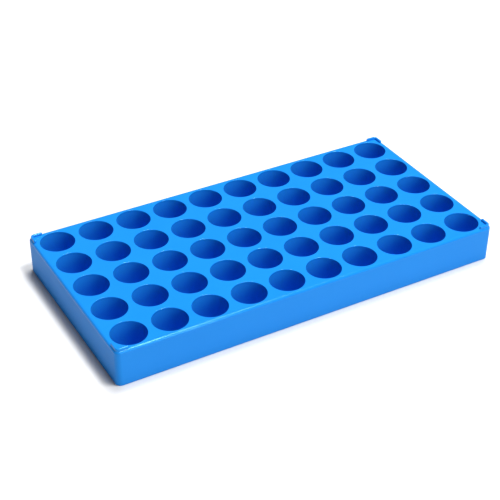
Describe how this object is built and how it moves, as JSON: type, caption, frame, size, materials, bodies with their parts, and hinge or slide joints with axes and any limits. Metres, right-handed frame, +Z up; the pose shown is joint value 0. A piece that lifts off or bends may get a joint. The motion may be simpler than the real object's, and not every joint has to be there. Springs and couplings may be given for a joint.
{
  "type": "test tube rack",
  "caption": "Shallow rectangular block rack: a flat deck with a square grid of round blind wells, plain skirt walls and small raised lugs at the corners.",
  "frame": {"origin": "centre of the base outline, on the surface the rack stands on", "axes": "+X along the long side from column 1 to column 10, +Y to the back (row a), +Z up out of the wells"},
  "size_m": [0.192, 0.096, 0.0189],
  "materials": {
    "blue_polypropylene": "satin"
  },
  "bodies": {
    "root": {"deck": "blue_polypropylene", "skirt_front": "blue_polypropylene", "skirt_right": "blue_polypropylene", "skirt_back": "blue_polypropylene", "skirt_left": "blue_polypropylene", "well_a1": "blue_polypropylene", "well_a2": "blue_polypropylene", "well_a3": "blue_polypropylene", "well_a4": "blue_polypropylene", "well_a5": "blue_polypropylene", "well_a6": "blue_polypropylene", "well_a7": "blue_polypropylene", "well_a8": "blue_polypropylene", "well_a9": "blue_polypropylene", "well_a10": "blue_polypropylene", "well_b1": "blue_polypropylene", "well_b2": "blue_polypropylene", "well_b3": "blue_polypropylene", "well_b4": "blue_polypropylene", "well_b5": "blue_polypropylene", "well_b6": "blue_polypropylene", "well_b7": "blue_polypropylene", "well_b8": "blue_polypropylene", "well_b9": "blue_polypropylene", "well_b10": "blue_polypropylene", "well_c1": "blue_polypropylene", "well_c2": "blue_polypropylene", "well_c3": "blue_polypropylene", "well_c4": "blue_polypropylene", "well_c5": "blue_polypropylene", "well_c6": "blue_polypropylene", "well_c7": "blue_polypropylene", "well_c8": "blue_polypropylene", "well_c9": "blue_polypropylene", "well_c10": "blue_polypropylene", "well_d1": "blue_polypropylene", "well_d2": "blue_polypropylene", "well_d3": "blue_polypropylene", "well_d4": "blue_polypropylene", "well_d5": "blue_polypropylene", "well_d6": "blue_polypropylene", "well_d7": "blue_polypropylene", "well_d8": "blue_polypropylene", "well_d9": "blue_polypropylene", "well_d10": "blue_polypropylene", "well_e1": "blue_polypropylene", "well_e2": "blue_polypropylene", "well_e3": "blue_polypropylene", "well_e4": "blue_polypropylene", "well_e5": "blue_polypropylene", "well_e6": "blue_polypropylene", "well_e7": "blue_polypropylene", "well_e8": "blue_polypropylene", "well_e9": "blue_polypropylene", "well_e10": "blue_polypropylene", "well_webs": "blue_polypropylene", "lug_front_left": "blue_polypropylene", "lug_front_right": "blue_polypropylene", "lug_back_left": "blue_polypropylene", "lug_back_right": "blue_polypropylene"}
  },
  "joints": []
}
